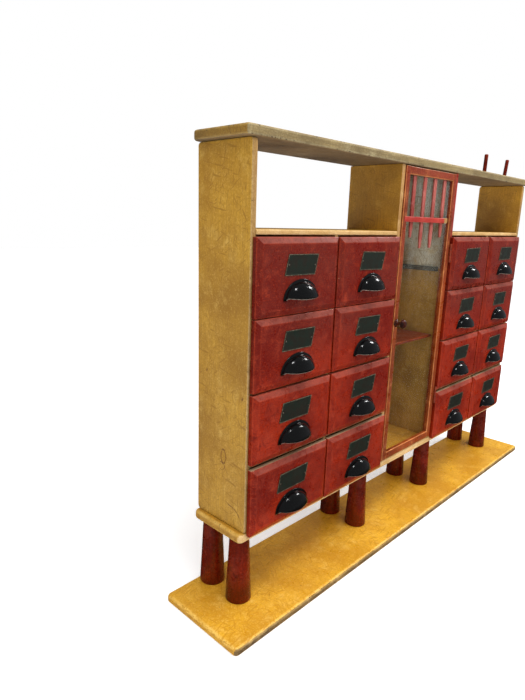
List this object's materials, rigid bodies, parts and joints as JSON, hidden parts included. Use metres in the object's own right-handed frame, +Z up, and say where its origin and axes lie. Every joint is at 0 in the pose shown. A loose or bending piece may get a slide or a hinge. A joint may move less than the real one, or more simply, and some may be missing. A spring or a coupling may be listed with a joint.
{
  "type": "apothecary cabinet",
  "caption": "Shallow painted apothecary cabinet: small drawers with cup pulls, open niches and a glazed door, on turned legs over a base board.",
  "frame": {"origin": "middle of the base board's underside, on the floor", "axes": "+X along the case to the viewer's right when facing the drawers, -Y out of the front, +Z up"},
  "size_m": [1.436, 0.224, 1.0375],
  "materials": {
    "golden_paint": "worn golden yellow gloss paint on wood",
    "ochre_paint": "worn ochre paint on wood, brushed by hand",
    "red_paint": "worn glossy red paint on wood",
    "dark_red_paint": "glossy dark red paint on turned wood",
    "bare_wood": "bare softwood",
    "turned_wood": "varnished dark wood",
    "black_enamel": "glossy black enamel",
    "hinge_brass": "dull brass, partly painted over",
    "door_glass": "clear window glass"
  },
  "bodies": {
    "case": {"base_board": "golden_paint", "bottom_board": "golden_paint", "top_board": "golden_paint", "side_panel_left": "ochre_paint", "side_panel_right": "ochre_paint", "partition_left": "ochre_paint", "partition_right": "ochre_paint", "drawer_rack_left": "ochre_paint", "drawer_rack_right": "ochre_paint", "back_board_lower": "bare_wood", "back_board_upper": "ochre_paint", "peg_inner": "dark_red_paint", "peg_outer": "dark_red_paint", "compartment_shelf": "dark_red_paint", "hinge_lower": "hinge_brass", "hinge_upper": "hinge_brass", "leg_front_1": "dark_red_paint", "leg_front_2": "dark_red_paint", "leg_front_3": "dark_red_paint", "leg_front_4": "dark_red_paint", "leg_back_1": "dark_red_paint", "leg_back_2": "dark_red_paint", "leg_back_3": "dark_red_paint", "leg_back_4": "dark_red_paint"},
    "door": {"door_frame": "red_paint", "door_glass": "door_glass", "glazing_bars": "red_paint", "door_knob": "turned_wood"},
    "drawer_1_1": {"drawer_1_1": "red_paint", "cup_pull_1_1": "black_enamel"},
    "drawer_2_1": {"drawer_2_1": "red_paint", "cup_pull_2_1": "black_enamel"},
    "drawer_3_1": {"drawer_3_1": "red_paint", "cup_pull_3_1": "black_enamel"},
    "drawer_4_1": {"drawer_4_1": "red_paint", "cup_pull_4_1": "black_enamel"},
    "drawer_1_2": {"drawer_1_2": "red_paint", "cup_pull_1_2": "black_enamel"},
    "drawer_2_2": {"drawer_2_2": "red_paint", "cup_pull_2_2": "black_enamel"},
    "drawer_3_2": {"drawer_3_2": "red_paint", "cup_pull_3_2": "black_enamel"},
    "drawer_4_2": {"drawer_4_2": "red_paint", "cup_pull_4_2": "black_enamel"},
    "drawer_1_3": {"drawer_1_3": "red_paint", "cup_pull_1_3": "black_enamel"},
    "drawer_2_3": {"drawer_2_3": "red_paint", "cup_pull_2_3": "black_enamel"},
    "drawer_3_3": {"drawer_3_3": "red_paint", "cup_pull_3_3": "black_enamel"},
    "drawer_4_3": {"drawer_4_3": "red_paint", "cup_pull_4_3": "black_enamel"},
    "drawer_1_4": {"drawer_1_4": "red_paint", "cup_pull_1_4": "black_enamel"},
    "drawer_2_4": {"drawer_2_4": "red_paint", "cup_pull_2_4": "black_enamel"},
    "drawer_3_4": {"drawer_3_4": "red_paint", "cup_pull_3_4": "black_enamel"},
    "drawer_4_4": {"drawer_4_4": "red_paint", "cup_pull_4_4": "black_enamel"}
  },
  "joints": [
    {"name": "door_hinge", "type": "hinge", "parent": "case", "child": "door", "pos_m": [0.128, -0.0485, 0.575], "axis": [0, 0, 1], "range_deg": [0, 90]},
    {"name": "drawer_1_1_slide", "type": "slide", "parent": "case", "child": "drawer_1_1", "axis": [0, -1, 0], "range_m": [0, 0.11]},
    {"name": "drawer_2_1_slide", "type": "slide", "parent": "case", "child": "drawer_2_1", "axis": [0, -1, 0], "range_m": [0, 0.11]},
    {"name": "drawer_3_1_slide", "type": "slide", "parent": "case", "child": "drawer_3_1", "axis": [0, -1, 0], "range_m": [0, 0.11]},
    {"name": "drawer_4_1_slide", "type": "slide", "parent": "case", "child": "drawer_4_1", "axis": [0, -1, 0], "range_m": [0, 0.11]},
    {"name": "drawer_1_2_slide", "type": "slide", "parent": "case", "child": "drawer_1_2", "axis": [0, -1, 0], "range_m": [0, 0.11]},
    {"name": "drawer_2_2_slide", "type": "slide", "parent": "case", "child": "drawer_2_2", "axis": [0, -1, 0], "range_m": [0, 0.11]},
    {"name": "drawer_3_2_slide", "type": "slide", "parent": "case", "child": "drawer_3_2", "axis": [0, -1, 0], "range_m": [0, 0.11]},
    {"name": "drawer_4_2_slide", "type": "slide", "parent": "case", "child": "drawer_4_2", "axis": [0, -1, 0], "range_m": [0, 0.11]},
    {"name": "drawer_1_3_slide", "type": "slide", "parent": "case", "child": "drawer_1_3", "axis": [0, -1, 0], "range_m": [0, 0.11]},
    {"name": "drawer_2_3_slide", "type": "slide", "parent": "case", "child": "drawer_2_3", "axis": [0, -1, 0], "range_m": [0, 0.11]},
    {"name": "drawer_3_3_slide", "type": "slide", "parent": "case", "child": "drawer_3_3", "axis": [0, -1, 0], "range_m": [0, 0.11]},
    {"name": "drawer_4_3_slide", "type": "slide", "parent": "case", "child": "drawer_4_3", "axis": [0, -1, 0], "range_m": [0, 0.11]},
    {"name": "drawer_1_4_slide", "type": "slide", "parent": "case", "child": "drawer_1_4", "axis": [0, -1, 0], "range_m": [0, 0.11]},
    {"name": "drawer_2_4_slide", "type": "slide", "parent": "case", "child": "drawer_2_4", "axis": [0, -1, 0], "range_m": [0, 0.11]},
    {"name": "drawer_3_4_slide", "type": "slide", "parent": "case", "child": "drawer_3_4", "axis": [0, -1, 0], "range_m": [0, 0.11]},
    {"name": "drawer_4_4_slide", "type": "slide", "parent": "case", "child": "drawer_4_4", "axis": [0, -1, 0], "range_m": [0, 0.11]}
  ]
}
